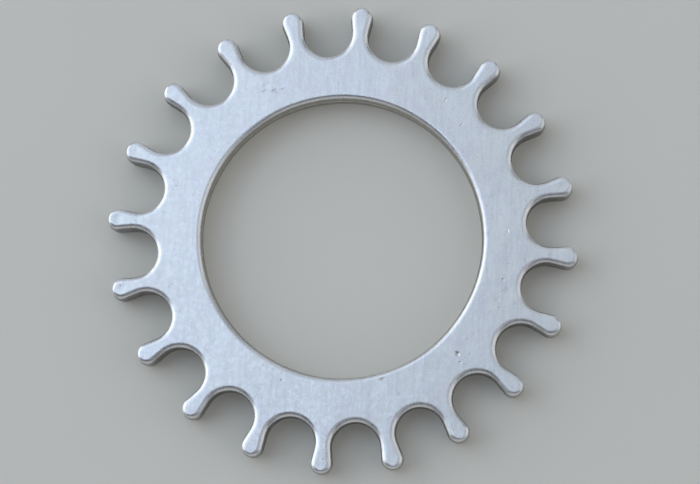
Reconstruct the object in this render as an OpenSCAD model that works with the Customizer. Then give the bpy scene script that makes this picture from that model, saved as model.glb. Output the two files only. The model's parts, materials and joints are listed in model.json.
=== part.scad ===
// Flat toothed ring in the shape of a sprocket. It is one cast piece.
// Origin: on the bore axis, in the plane of the back face. +Z runs along the bore axis
// to the front face, and a gap between two teeth is centred on +X.

/* [Ring] */
// Diameter over the tooth tips
outer_d = 40; // [39.5:0.5:41]
// Diameter of the bore
bore_d = 24; // [20:0.5:26]
// Thickness between the two flat faces
thickness = 2.7; // [2:0.1:4]
// Width of the bevel on every edge, measured across the face
bevel_w = 0.36; // [0.2:0.02:0.36]
// Height of the bevel on every edge, measured down the wall
bevel_h = 0.2; // [0.15:0.05:0.3]

/* [Teeth] */
// Number of teeth
teeth = 20; // [18:1:20]
// Diameter of the circle that touches the bottoms of the gaps
root_d = 31.3; // [31:0.1:31.5]
// Width of a gap between its straight sides
gap_w = 4.25; // [4:0.05:4.3]

/* [Hidden] */
$fn = 96;

// Angle between neighbouring teeth
pitch_angle = 360 / teeth;
// The half-round bottom of a gap
gap_r = gap_w / 2;
gap_centre_r = root_d / 2 + gap_r;
// The full-round tip of a tooth touches the straight sides of both its gaps
tip_centre_r = (outer_d / 2 + gap_r) / (1 + sin(pitch_angle / 2));
tip_r = outer_d / 2 - tip_centre_r;
// Where a gap's side meets the round tip, along the gap and from the ring's axis
side_end = tip_centre_r * cos(pitch_angle / 2);
side_end_r = norm([side_end, gap_r]);
// How far cutters run past the surface they cut
clear = 1;
// Length of a gap's cutter from the centre of its round bottom
gap_run = outer_d / 2 + clear - gap_centre_r;
// How far the round tip overlaps the sides that it meets, too little to see
lap = 0.01;

// Blank between the bore and the ends of the tooth sides, bevelled at the bore
module blank() {
    r = bore_d / 2;
    rotate_extrude()
        polygon([
            [r + bevel_w, 0],
            [side_end_r, 0],
            [side_end_r, thickness],
            [r + bevel_w, thickness],
            [r, thickness - bevel_h],
            [r, bevel_h],
        ]);
}

// Half the section across a gap's cutter. It flares at the slope of the bevel at both faces
// and runs past them.
module gap_section() {
    high = bevel_h + clear;
    wide_r = gap_r + high * bevel_w / bevel_h;
    polygon([
        [0, -clear],
        [wide_r, -clear],
        [gap_r, bevel_h],
        [gap_r, thickness - bevel_h],
        [wide_r, thickness + clear],
        [0, thickness + clear],
    ]);
}

// One U-shaped gap along +X: a half-round bottom and a straight run out past the tips
module gap() {
    translate([gap_centre_r, 0, 0]) {
        rotate([0, 0, 90])
            rotate_extrude(angle = 180)
                gap_section();
        for (side = [0, 1])
            mirror([0, side, 0])
                rotate([90, 0, 90])
                    linear_extrude(gap_run)
                        gap_section();
    }
}

// Full-round end of one tooth on +X, bevelled at both faces. The half turn puts the start of
// its round surface inside the tooth.
module tooth_tip() {
    r = tip_r + lap;
    translate([tip_centre_r - lap, 0, 0])
        rotate([0, 0, 180])
            rotate_extrude()
                polygon([
                    [0, 0],
                    [r - bevel_w, 0],
                    [r, bevel_h],
                    [r, thickness - bevel_h],
                    [r - bevel_w, thickness],
                    [0, thickness],
                ]);
}

// The whole ring: a blank with a gap at each pitch and a round tip on each tooth
module sprocket_ring() {
    color("silver")
        union() {
            difference() {
                blank();
                for (i = [0 : teeth - 1])
                    rotate([0, 0, i * pitch_angle])
                        gap();
            }
            for (i = [0 : teeth - 1])
                rotate([0, 0, (i + 0.5) * pitch_angle])
                    tooth_tip();
        }
}

sprocket_ring();
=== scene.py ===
"""A flat silver ring in the shape of a sprocket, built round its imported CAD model.

Lengths are in millimetres until a mesh is made, and MM turns them into metres. The ring's
frame is the CAD's: origin on the bore axis in the plane of the back face, +Z out of the
front face, and a gap between two teeth centred on +X.
"""

import json
from functools import reduce
from math import cos, hypot, pi, radians, sin
from types import SimpleNamespace

import bmesh
import bpy
import numpy as np
from mathutils import Matrix, Vector, noise


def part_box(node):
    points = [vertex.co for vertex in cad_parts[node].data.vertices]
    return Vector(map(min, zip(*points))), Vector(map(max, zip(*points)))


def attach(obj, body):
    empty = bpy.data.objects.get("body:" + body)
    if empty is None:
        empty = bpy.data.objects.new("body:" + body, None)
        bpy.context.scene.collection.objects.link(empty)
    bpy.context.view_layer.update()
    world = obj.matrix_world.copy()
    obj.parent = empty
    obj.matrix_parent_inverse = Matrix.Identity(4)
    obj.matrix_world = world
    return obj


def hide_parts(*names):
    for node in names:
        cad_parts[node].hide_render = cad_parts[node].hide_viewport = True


MM = 0.001

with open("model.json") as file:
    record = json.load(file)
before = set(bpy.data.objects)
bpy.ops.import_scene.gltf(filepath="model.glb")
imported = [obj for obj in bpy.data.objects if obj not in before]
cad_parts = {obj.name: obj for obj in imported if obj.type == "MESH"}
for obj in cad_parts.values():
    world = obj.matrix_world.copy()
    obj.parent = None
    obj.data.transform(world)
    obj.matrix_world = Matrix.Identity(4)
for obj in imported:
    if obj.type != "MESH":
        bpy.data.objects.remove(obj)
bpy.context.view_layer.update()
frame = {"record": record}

NODE = "sprocket_ring"


# ---------------------------------------------------------------- sizes from the CAD
def mount(name):
    """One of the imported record's mounts."""
    return next(m for m in frame["record"]["mounts"] if m["name"] == name)


TEETH = 20
PITCH = 2 * pi / TEETH
cad_low, cad_high = (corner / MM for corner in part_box(NODE))
THICK = cad_high.z - cad_low.z
BORE_R = mount("bore")["dims"]["r_mm"]
BEVEL_H = (THICK - mount("bore")["dims"]["length_mm"]) / 2

# A gap is a half circle of this radius with parallel sides
GAP_R = 2.125
GAP_CENTRE_R = mount("tooth_gap")["pos_m"][0] / MM
# The box reaches tip_centre * cos(half pitch) + tip_radius along X, and a tip touches the
# straight sides of both its gaps
TIP_CENTRE_R = (cad_high.x + GAP_R) / (cos(PITCH / 2) + sin(PITCH / 2))
TIP_R = TIP_CENTRE_R * sin(PITCH / 2) - GAP_R

# ---------------------------------------------------------------- how fine the mesh is
# Steps along half a tooth: round gap bottom, straight side, round tip
ARC_STEPS, SIDE_STEPS, TIP_STEPS = 12, 5, 13
HALF = ARC_STEPS + SIDE_STEPS + TIP_STEPS
# Steps at the end of the tip that the last straight rung is joined to
CAP_STEPS = 10
RUNG_STEPS = 2 * CAP_STEPS
RING_ROWS = 20

# ---------------------------------------------------------------- the edges' section
# The tumbled edge rolls over from the face in a crowned bevel, a little wider than the CAD's
# flat one. Its slope grows between these angles, slowly at first
BEVEL_W, BORE_BEVEL_W = 0.46, 0.38
CROWN = radians(1), radians(57)
CROWN_POWER = 1.4
BEVEL_STEPS = 8
# The bevel is narrower by this share at the very end of a tooth
TIP_SHARP = 0.45
# A loop just inside each border of the bevel keeps the face flat beside it
TIGHT = 0.04
# The cast walls lean out by DRAFT towards half the thickness, where a worn seam stands out
# further. The seam is a little under 2 * SEAM_H tall
DRAFT = 0.03
SEAM_H, SEAM_OUT, BORE_SEAM_OUT = 0.10, 0.045, 0.10
# Heights of loops above the seam, as shares of the wall above it and as shares of SEAM_H
WALL_LOOPS = (0.62, 0.3)
SEAM_LOOPS = (1.6, 0.8)


def edge_section(bevel_w, seam_out):
    """(inset, height) pairs down the edge, from the front face to the back face."""
    low, high = CROWN
    shares = np.linspace(0, 1, BEVEL_STEPS + 1)
    middles = (shares[1:] + shares[:-1]) / 2
    falls = np.tan(low + (high - low) * middles**CROWN_POWER)
    drops = np.concatenate([[0], np.cumsum(falls)]) * BEVEL_H / falls.sum()
    bevel = [(bevel_w + TIGHT, THICK)]
    for share, drop in zip(shares, drops):
        bevel.append((bevel_w * (1 - share), THICK - drop))
    middle = THICK / 2
    wall_h = middle - BEVEL_H
    heights = [wall_h - TIGHT]
    heights += [share * wall_h for share in WALL_LOOPS]
    heights += [share * SEAM_H for share in SEAM_LOOPS]
    wall = [(DRAFT * above / wall_h - DRAFT, middle + above) for above in heights]
    upper = bevel + wall
    seam = [(-DRAFT - seam_out, middle)]
    lower = [(inset, THICK - z) for inset, z in reversed(upper)]
    return upper + seam + lower


# ---------------------------------------------------------------- the plan of a tooth
def half_tooth(inset):
    """Points of half a tooth on +X, from the gap bottom at +PITCH/2 round to the tip."""
    gap_axis = PITCH / 2
    along = np.array([cos(gap_axis), sin(gap_axis)])
    across = np.array([-sin(gap_axis), cos(gap_axis)])
    points = []
    for i in range(ARC_STEPS):
        turn = pi + pi / 2 * i / ARC_STEPS
        out = along * cos(turn) + across * sin(turn)
        points.append(along * GAP_CENTRE_R + out * (GAP_R + inset))
    side_run = TIP_CENTRE_R * cos(PITCH / 2) - GAP_CENTRE_R
    for i in range(SIDE_STEPS):
        run = GAP_CENTRE_R + side_run * i / SIDE_STEPS
        points.append(along * run - across * (GAP_R + inset))
    for i in range(TIP_STEPS + 1):
        share = i / TIP_STEPS
        turn = (pi / 2 + PITCH / 2) * (1 - share)
        out = np.array([cos(turn), sin(turn)])
        # Only the bevel narrows. What stands out past the wall keeps its reach
        sharp = max(inset, 0) * TIP_SHARP * share**1.5
        points.append(np.array([TIP_CENTRE_R, 0]) + out * (TIP_R - inset + sharp))
    return np.array(points)


def turned(points, angle):
    """The plan points turned about the ring's axis."""
    c, s = cos(angle), sin(angle)
    return points @ np.array([[c, s], [-s, c]])


def outline(inset):
    """The closed line round all teeth, anticlockwise, starting at a gap bottom."""
    left = half_tooth(inset)
    right = left * [1, -1]
    tooth = np.vstack([right, left[-2:0:-1]])
    return np.vstack([turned(tooth, PITCH * (t + 0.5)) for t in range(TEETH)])


def tooth_rungs(inset):
    """Rows of points across a tooth on +X, from the ring to the start of the tip's cap."""
    left = half_tooth(inset)
    share = np.linspace(-1, 1, RUNG_STEPS + 1)
    first_x, last_x = left[0][0], left[ARC_STEPS][0]
    swell = hypot(*left[0]) - first_x
    rungs = []
    for x, y in left[: HALF - CAP_STEPS + 1]:
        fade = max(0.0, 1 - (x - first_x) / (last_x - first_x)) ** 2
        rungs.append(np.column_stack([x + swell * fade * (1 - share**2), y * share]))
    angles = PITCH / 2 * share
    rungs[0] = hypot(*left[0]) * np.column_stack([np.cos(angles), np.sin(angles)])
    return rungs


# ---------------------------------------------------------------- the ring's mesh
class Shell:
    """Collects points and faces for one mesh. make_mesh welds the points that fall together.
    """

    def __init__(self):
        self.points = []
        self.faces = []

    def row(self, plan, z):
        """Adds a row of points at one height and returns their numbers."""
        start = len(self.points)
        self.points.extend((x, y, z) for x, y in plan)
        return list(range(start, start + len(plan)))

    def strip(self, a, b, closed):
        """Quads between two rows of the same length."""
        count = len(a)
        for i in range(count if closed else count - 1):
            j = (i + 1) % count
            self.faces.append((a[i], a[j], b[j], b[i]))


def build_ring():
    """The whole ring as one closed mesh of quads."""
    shell = Shell()
    outer_section = edge_section(BEVEL_W, SEAM_OUT)
    bore_section = edge_section(BORE_BEVEL_W, BORE_SEAM_OUT)
    outer_rows = [shell.row(outline(inset), z) for inset, z in outer_section]
    for upper, lower in zip(outer_rows, outer_rows[1:]):
        shell.strip(lower, upper, True)
    steps = TEETH * RUNG_STEPS
    angles = np.linspace(0, 2 * pi, steps, endpoint=False)
    circle = np.column_stack([np.cos(angles), np.sin(angles)])
    bore_rows = [shell.row(circle * (BORE_R + inset), z) for inset, z in bore_section]
    for upper, lower in zip(bore_rows, bore_rows[1:]):
        shell.strip(upper, lower, True)
    for z, flip in ((THICK, False), (0.0, True)):
        first_face = len(shell.faces)
        fill_face(shell, z, circle)
        if flip:
            shell.faces[first_face:] = [f[::-1] for f in shell.faces[first_face:]]
    return shell


def fill_face(shell, z, circle):
    """The flat face between the bore's bevel and the teeth's bevel."""
    inset = BEVEL_W + TIGHT
    inner_r = BORE_R + BORE_BEVEL_W + TIGHT
    outer_r = GAP_CENTRE_R - GAP_R - inset
    rows = []
    for i in range(RING_ROWS + 1):
        r = inner_r + (outer_r - inner_r) * i / RING_ROWS
        rows.append(shell.row(circle * r, z))
    for a, b in zip(rows, rows[1:]):
        shell.strip(b, a, True)
    rungs = tooth_rungs(inset)
    cap = half_tooth(inset)[HALF - CAP_STEPS :]
    cap = np.vstack([cap * [1, -1], cap[-2::-1]])
    for t in range(TEETH):
        angle = PITCH * (t + 0.5)
        across = [shell.row(turned(rung, angle), z) for rung in rungs]
        across.append(shell.row(turned(cap, angle), z))
        for a, b in zip(across, across[1:]):
            shell.strip(b, a, False)


# Shallow dimples in the front face at tooth tips: tooth, reach and depth
TIP_DIMPLES = [(9, 0.62, 0.036), (10, 0.50, 0.020), (8, 0.50, 0.014), (0, 0.45, 0.014)]


def dimple_drop(point):
    """How far the front face sinks at a point, from the dimples at the tooth tips."""
    drop = 0.0
    for tooth, reach, depth in TIP_DIMPLES:
        angle = PITCH * (tooth + 0.5)
        centre = Vector((cos(angle), sin(angle), 0)) * TIP_CENTRE_R
        away = hypot(point.x - centre.x, point.y - centre.y) / reach
        if away < 1 and point.z > THICK / 2:
            drop += depth * (1 - away**2) ** 2
    return drop


# The noise starts from the clock unless it is given a seed
UNEVEN_SEED = 7
noise.seed_set(UNEVEN_SEED)

# Broad and fine unevenness: the size of the waves, and how far they move a point
BROAD_SIZE, BROAD_MOVE = 5.0, Vector((0.035, 0.035, 0.018))
FINE_SIZE, FINE_MOVE = 1.1, 0.005
# Keeps the fine waves apart from the broad ones
FINE_APART = Vector((40, 0, 0))


def uneven(point):
    """A point of the ring moved as much as casting and tumbling leave it out of true."""
    point = point - Vector((0, 0, dimple_drop(point)))
    broad = noise.noise_vector(point / BROAD_SIZE)
    fine = noise.noise_vector(point / FINE_SIZE + FINE_APART)
    return point + BROAD_MOVE * broad + FINE_MOVE * fine


# Points closer than this are one point
WELD = 1e-4


def make_mesh(name, shell):
    """A Blender object from the shell, with its doubled points welded."""
    moved = [uneven(Vector(p)) * MM for p in shell.points]
    mesh = bpy.data.meshes.new(name)
    mesh.from_pydata(moved, [], shell.faces)
    work = bmesh.new()
    work.from_mesh(mesh)
    bmesh.ops.remove_doubles(work, verts=work.verts, dist=WELD * MM)
    bmesh.ops.recalc_face_normals(work, faces=work.faces)
    work.to_mesh(mesh)
    work.free()
    mesh.polygons.foreach_set("use_smooth", [True] * len(mesh.polygons))
    piece = bpy.data.objects.new(name, mesh)
    bpy.context.scene.collection.objects.link(piece)
    return piece


# ---------------------------------------------------------------- shader helpers
class Nodes:
    """Short calls for building one material's node tree."""

    def __init__(self, name):
        self.material = bpy.data.materials.new(name)
        self.material.use_nodes = True
        self.tree = self.material.node_tree
        self.shader = self.tree.nodes["Principled BSDF"]

    def add(self, kind, **settings):
        node = self.tree.nodes.new("ShaderNode" + kind)
        for key, value in settings.items():
            setattr(node, key, value)
        return node

    def feed(self, value, socket):
        """Links an output, or sets a plain value, on an input socket."""
        if isinstance(value, bpy.types.NodeSocket):
            self.tree.links.new(value, socket)
        else:
            socket.default_value = value

    def maths(self, operation, a, b=0.0):
        node = self.add("Math", operation=operation)
        self.feed(a, node.inputs[0])
        self.feed(b, node.inputs[1])
        return node.outputs[0]

    def largest(self, values):
        """The largest of several values at each place."""
        return reduce(lambda a, b: self.maths("MAXIMUM", a, b), values)

    def vector(self, operation, a, b):
        node = self.add("VectorMath", operation=operation)
        self.feed(a, node.inputs[0])
        self.feed(b, node.inputs[1])
        return node.outputs["Value" if operation in ("DISTANCE", "DOT_PRODUCT") else 0]

    def turn(self, vector, angle):
        """The vector turned about Z."""
        node = self.add("VectorRotate", rotation_type="Z_AXIS")
        self.feed(vector, node.inputs["Vector"])
        node.inputs["Angle"].default_value = angle
        return node.outputs[0]

    def noise(self, vector, scale, detail=2.0, rough=0.5):
        node = self.add("TexNoise")
        self.feed(vector, node.inputs["Vector"])
        node.inputs["Scale"].default_value = scale
        node.inputs["Detail"].default_value = detail
        node.inputs["Roughness"].default_value = rough
        return node.outputs[0]

    def cells(self, vector, scale):
        """Distance to the nearest of many random points."""
        node = self.add("TexVoronoi")
        self.feed(vector, node.inputs["Vector"])
        node.inputs["Scale"].default_value = scale
        return node.outputs["Distance"]

    def span(self, value, low, high, to_low=0.0, to_high=1.0):
        """Value mapped from low..high to to_low..to_high with soft ends."""
        node = self.add("MapRange", interpolation_type="SMOOTHSTEP")
        self.feed(value, node.inputs["Value"])
        node.inputs["From Min"].default_value = low
        node.inputs["From Max"].default_value = high
        node.inputs["To Min"].default_value = to_low
        node.inputs["To Max"].default_value = to_high
        return node.outputs[0]

    def blend(self, share, a, b):
        """Colour a turning into colour b as share goes from 0 to 1."""
        node = self.add("Mix", data_type="RGBA")
        self.feed(share, node.inputs["Factor"])
        self.feed(a, node.inputs[6])
        self.feed(b, node.inputs[7])
        return node.outputs[2]

    def bump(self, height, distance, normal=None):
        """A normal bent by a height. distance is how high a height of 1 stands."""
        node = self.add("Bump")
        node.inputs["Distance"].default_value = distance
        self.feed(height, node.inputs["Height"])
        if normal is not None:
            self.feed(normal, node.inputs["Normal"])
        return node.outputs[0]


# ---------------------------------------------------------------- the silver finish
# Small dents on the front face: angle in degrees and radius of the middle, reach round the
# ring and along the radius, and depth as a share of a full dent
DENTS = [
    (310.6, 13.9, 0.22, 0.30, 1.1),
    (309.2, 14.6, 0.12, 0.12, 0.5),
    (341.0, 14.1, 0.14, 0.14, 0.8),
    (358.2, 14.1, 0.30, 0.10, 0.5),
    (49.2, 14.7, 0.12, 0.30, 0.6),
    (39.4, 14.0, 0.10, 0.26, 0.4),
    (243.5, 13.1, 0.12, 0.12, 0.7),
    (282.0, 12.5, 0.30, 0.12, 0.9),
    (8.2, 12.6, 0.08, 0.08, 0.6),
    (113.8, 14.3, 0.34, 0.06, 0.30),
    (110.6, 14.0, 0.40, 0.06, 0.34),
    (107.6, 13.8, 0.26, 0.06, 0.26),
]
# Scratches: the angle they run at, spacing, length, and the noise level that they start at
SCRATCHES = [(0.35, 0.05, 3.2, 0.66), (1.2, 0.06, 4.0, 0.68), (-0.6, 0.05, 2.4, 0.69)]
# The finest scratches and streaks run nearly along Y
STREAK_TURN = radians(6)

# The plate where it is dim and bright, and the marks on it
PLATE_DIM, PLATE_BRIGHT = (0.86, 0.885, 0.925, 1), (0.92, 0.94, 0.965, 1)
PLATE_LILAC = (0.87, 0.85, 0.93, 1)
SCUFF_COLOUR, STREAK_COLOUR = (0.50, 0.49, 0.57, 1), (0.78, 0.81, 0.87, 1)
SPECK_COLOUR, PIT_COLOUR = (0.52, 0.52, 0.54, 1), (0.34, 0.33, 0.33, 1)
DENT_COLOUR = (0.36, 0.36, 0.39, 1)
# The walls' colour is some tarnish and mostly painted shade: dark in the gaps as painted
# shadow, warmer and lighter in the bore as a painted reflection of lit ground, and lighter at
# the tips of the teeth as wear and painted reflection
WALL_TARNISH_AND_SHADE, BORE_WALL_REFLECTION_COLOUR = (0.24, 0.23, 0.205, 1), (0.47, 0.44, 0.37, 1)
TIP_WALL_WEAR_AND_SHEEN = (0.45, 0.43, 0.39, 1)


def scratches(n, place, angle, spacing, length, start):
    """Fine straight scratches that run at one angle. A higher start leaves fewer of them."""
    along = n.turn(place, angle)
    stretched = n.vector("MULTIPLY", along, (1 / spacing, 1 / length, 0.2))
    lines = n.noise(stretched, 1.0, 1.0, 0.4)
    return n.span(lines, start, start + 0.08)


def dent(n, place, angle, radius, wide, tall, depth):
    """One small oval dent on the front face."""
    a = radians(angle)
    offset = n.vector("SUBTRACT", place, (radius * cos(a), radius * sin(a), THICK))
    offset = n.vector("MULTIPLY", n.turn(offset, -a), (1 / tall, 1 / wide, 1.0))
    reach = n.vector("DISTANCE", offset, (0.0, 0.0, 0.0))
    return n.span(reach, 1.0, 0.15, 0.0, depth)


def silver_patterns(n):
    """Where each kind of wear lies: noises, and masks that rise from 0 on walls and marks."""
    object_place = n.add("TexCoord").outputs["Object"]
    place = n.vector("MULTIPLY", object_place, (1 / MM,) * 3)
    facing = n.add("SeparateXYZ")
    n.feed(n.add("NewGeometry").outputs["Normal"], facing.inputs[0])
    up = n.maths("ABSOLUTE", facing.outputs["Z"])
    upright = n.turn(place, STREAK_TURN)
    p = SimpleNamespace(place=place, wall=n.span(up, 0.5, 0.15))

    p.cloud = n.noise(place, 0.16, 3.0, 0.55)
    p.patch = n.noise(place, 0.9, 2.0, 0.5)
    p.mottle = n.noise(place, 2.2, 3.0, 0.55)
    p.grain = n.noise(place, 13.0, 2.0, 0.5)
    p.cast = n.noise(place, 3.2, 5.0, 0.65)
    p.brushed = n.noise(n.vector("MULTIPLY", upright, (3.6, 0.4, 1.0)), 1.0, 2.0, 0.5)

    scuff = n.noise(n.vector("MULTIPLY", upright, (1.9, 1.1, 1.0)), 1.0, 4.0, 0.7)
    p.scuff = n.maths("MULTIPLY", n.span(scuff, 0.58, 0.72), n.span(p.cloud, 0.45, 0.60))
    p.pits = n.span(n.cells(place, 0.8), 0.07, 0.03)
    p.specks = n.span(n.cells(n.turn(place, 0.7), 1.5), 0.12, 0.04)
    p.lines = n.largest([scratches(n, place, *values) for values in SCRATCHES])
    p.dents = n.largest([dent(n, place, *values) for values in DENTS])
    return p


def silver_colour(n, p):
    """Bright plate with lilac patches, streaks and marks, and walls darkened with tarnish and
    painted shade.
    """
    colour = n.blend(n.span(p.cloud, 0.35, 0.68), PLATE_DIM, PLATE_BRIGHT)
    colour = n.blend(n.span(p.patch, 0.45, 0.70, 0.0, 0.7), colour, PLATE_LILAC)
    colour = n.blend(n.maths("MULTIPLY", p.scuff, 0.5), colour, SCUFF_COLOUR)
    colour = n.blend(n.span(p.brushed, 0.42, 0.70, 0.0, 0.5), colour, STREAK_COLOUR)
    colour = n.blend(n.maths("MULTIPLY", p.specks, 0.12), colour, SPECK_COLOUR)
    colour = n.blend(n.maths("MULTIPLY", p.pits, 0.35), colour, PIT_COLOUR)
    colour = n.blend(n.maths("MULTIPLY", p.dents, 0.45), colour, DENT_COLOUR)
    in_plan = n.vector("MULTIPLY", p.place, (1.0, 1.0, 0.0))
    radius = n.vector("DISTANCE", in_plan, (0.0, 0.0, 0.0))
    inside = n.span(radius, BORE_R + 1.6, BORE_R + 0.8)
    outside = n.span(radius, TIP_CENTRE_R - 0.2, TIP_CENTRE_R + 0.6)
    # Painted shade on the walls: dark in the gaps, with a painted reflection lighter in the
    # bore and at the tips
    wall_tarnish_and_shade = n.blend(inside, WALL_TARNISH_AND_SHADE, BORE_WALL_REFLECTION_COLOUR)
    wall_tarnish_and_shade = n.blend(outside, wall_tarnish_and_shade, TIP_WALL_WEAR_AND_SHEEN)
    shade_and_tarnish_share = n.maths("MULTIPLY", p.wall, n.span(p.mottle, 0.3, 0.7, 0.80, 1.0))
    return n.blend(shade_and_tarnish_share, colour, wall_tarnish_and_shade)


def silver_roughness(n, p):
    """Satin, a little uneven, and rougher on the walls and along the scratches."""
    rough = n.span(p.mottle, 0.3, 0.7, 0.24, 0.32)
    rough = n.maths("ADD", rough, n.span(p.cloud, 0.3, 0.7, -0.02, 0.03))
    rough = n.maths("ADD", rough, n.maths("MULTIPLY", p.wall, 0.10))
    return n.maths("ADD", rough, n.maths("MULTIPLY", p.lines, 0.05))


def silver_relief(n, p):
    """Bumps from the broadest waves of the face down to cuts, dents and the cast walls."""
    face = n.maths("SUBTRACT", 1.0, p.wall)
    normal = n.bump(n.maths("MULTIPLY", p.brushed, face), 0.0036 * MM)
    normal = n.bump(p.patch, 0.011 * MM, normal)
    normal = n.bump(p.mottle, 0.0010 * MM, normal)
    normal = n.bump(p.grain, 0.0001 * MM, normal)
    cuts = n.largest(
        [
            n.maths("MULTIPLY", p.lines, 0.06),
            n.maths("MULTIPLY", p.pits, 0.6),
            n.maths("MULTIPLY", p.specks, 0.3),
        ]
    )
    normal = n.bump(n.maths("MULTIPLY", cuts, -1.0), 0.006 * MM, normal)
    normal = n.bump(n.maths("MULTIPLY", p.dents, -1.0), 0.06 * MM, normal)
    return n.bump(n.maths("MULTIPLY", p.cast, p.wall), 0.05 * MM, normal)


def silver():
    """Satin silver plate: tumbled and lightly scratched faces, rougher cast walls."""
    n = Nodes("silver_plate")
    patterns = silver_patterns(n)
    n.shader.inputs["Metallic"].default_value = 1.0
    n.feed(silver_colour(n, patterns), n.shader.inputs["Base Color"])
    n.feed(silver_roughness(n, patterns), n.shader.inputs["Roughness"])
    n.feed(silver_relief(n, patterns), n.shader.inputs["Normal"])
    return n.material


ring = make_mesh("sprocket_ring_cast", build_ring())
ring.data.materials.append(silver())
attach(ring, "root")
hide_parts(NODE)


# ---------------------------------------------------------------- floor, light, camera
# Half of the floor's width, in metres
FLOOR_HALF = 2.0


def make_floor(low_z):
    """A plain pale floor under the ring."""
    n = Nodes("studio_floor")
    grain = n.noise(n.add("TexCoord").outputs["Object"], 60.0, 3.0, 0.5)
    colour = n.blend(grain, (0.84, 0.82, 0.77, 1), (0.87, 0.85, 0.80, 1))
    n.feed(colour, n.shader.inputs["Base Color"])
    n.shader.inputs["Roughness"].default_value = 0.9
    mesh = bpy.data.meshes.new("studio_floor")
    corners = [(-1, -1), (1, -1), (1, 1), (-1, 1)]
    points = [(x * FLOOR_HALF, y * FLOOR_HALF, low_z) for x, y in corners]
    mesh.from_pydata(points, [], [(0, 1, 2, 3)])
    floor = bpy.data.objects.new("studio_floor", mesh)
    bpy.context.scene.collection.objects.link(floor)
    mesh.materials.append(n.material)


# The lights' sizes and places are in metres. Each box stands this far from the ring
SOFTBOX_AWAY = 0.7


def area_light(name, size, brightness, colour):
    """A rectangular light of a given brightness per area, which shines down its own -Z."""
    data = bpy.data.lights.new(name, "AREA")
    data.shape = "RECTANGLE"
    data.size, data.size_y = size
    data.energy = brightness * pi * size[0] * size[1]
    data.color = colour
    lamp = bpy.data.objects.new(name, data)
    bpy.context.scene.collection.objects.link(lamp)
    return lamp


def panel(name, place, turn, size, brightness, colour):
    """A level light overhead, turned by some degrees about the upright."""
    lamp = area_light(name, size, brightness, colour)
    lamp.location = place
    lamp.rotation_euler.z = radians(turn)


def softbox(name, azimuth, elevation, size, brightness, colour):
    """A light low down beside the ring that points at it. Azimuth is from +X towards +Y."""
    lamp = area_light(name, size, brightness, colour)
    a, e = radians(azimuth), radians(elevation)
    away = Vector((cos(a) * cos(e), sin(a) * cos(e), sin(e)))
    lamp.location = away * SOFTBOX_AWAY
    lamp.rotation_euler = away.to_track_quat("Z", "Y").to_euler()


def make_surround():
    """A plain surround, bright low down all round and dim overhead."""
    world = bpy.data.worlds.new("studio")
    bpy.context.scene.world = world
    world.use_nodes = True
    tree = world.node_tree
    background = tree.nodes["Background"]
    background.inputs["Color"].default_value = (0.96, 0.98, 1.0, 1)
    direction = tree.nodes.new("ShaderNodeTexCoord").outputs["Generated"]
    split = tree.nodes.new("ShaderNodeSeparateXYZ")
    tree.links.new(direction, split.inputs[0])
    fall = tree.nodes.new("ShaderNodeMapRange")
    tree.links.new(split.outputs["Z"], fall.inputs["Value"])
    # The sine of the elevation at each end of the fall, and the strength there
    (low, bright), (high, dim) = (0.3, 0.33), (0.6, 0.11)
    fall.inputs["From Min"].default_value, fall.inputs["To Min"].default_value = low, bright
    fall.inputs["From Max"].default_value, fall.inputs["To Max"].default_value = high, dim
    tree.links.new(fall.outputs[0], background.inputs["Strength"])


def make_light():
    """A bright cool panel overhead on the left, dimmer ones on the right, boxes all round."""
    bpy.context.scene.view_settings.view_transform = "Standard"
    make_surround()
    panel("above_left", (-0.534, 0.301, 0.8), 8, (0.98, 0.86), 0.99, (0.71, 0.83, 0.99))
    panel("above_right", (0.258, 0.466, 0.8), 8, (0.62, 0.86), 0.445, (0.83, 0.92, 0.99))
    panel("beside_right", (0.38, -0.17, 0.8), 0, (0.48, 0.30), 0.40, (0.90, 0.96, 1.0))
    softbox("left", 160, 26, (0.85, 0.6), 0.90, (0.94, 0.99, 1.0))
    softbox("back", 84, 30, (0.8, 0.4), 0.32, (0.85, 0.93, 1.0))
    softbox("right", -4, 34, (0.7, 0.6), 0.50, (1.0, 0.98, 0.94))
    softbox("front", -94, 32, (0.7, 0.5), 0.21, (1.0, 0.98, 0.96))


# The camera looks down at the front face, leaning towards -Y and a little towards +X
CAMERA_LEAN = radians(8.0)
CAMERA_SIDE = radians(2.5)
CAMERA_ROLL = radians(4.17)
CAMERA_DISTANCE = 220.0
# Width of the picture at the ring, and the ring's axis from the picture's centre
PICTURE_W = 59.31
AXIS_RIGHT, AXIS_UP = -0.71, 0.365
SENSOR_W = 36.0


def make_camera():
    """A lens nearly straight above the ring, turned as the ring lies."""
    turn = Matrix.Rotation(-CAMERA_SIDE, 3, "Y")
    turn = turn @ Matrix.Rotation(-CAMERA_LEAN, 3, "X") @ Matrix.Rotation(CAMERA_ROLL, 3, "Z")
    right, up, back = (Vector(row) for row in turn)
    target = Vector((0, 0, THICK - BEVEL_H))
    place = target + back * CAMERA_DISTANCE - right * AXIS_RIGHT - up * AXIS_UP
    data = bpy.data.cameras.new("camera")
    data.sensor_width = SENSOR_W
    data.lens = SENSOR_W * CAMERA_DISTANCE / PICTURE_W
    data.clip_start, data.clip_end = 0.01, 10
    camera = bpy.data.objects.new("camera", data)
    camera.matrix_world = Matrix.Translation(place * MM) @ turn.transposed().to_4x4()
    bpy.context.scene.collection.objects.link(camera)
    bpy.context.scene.camera = camera


make_floor(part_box(NODE)[0].z)
make_light()
make_camera()
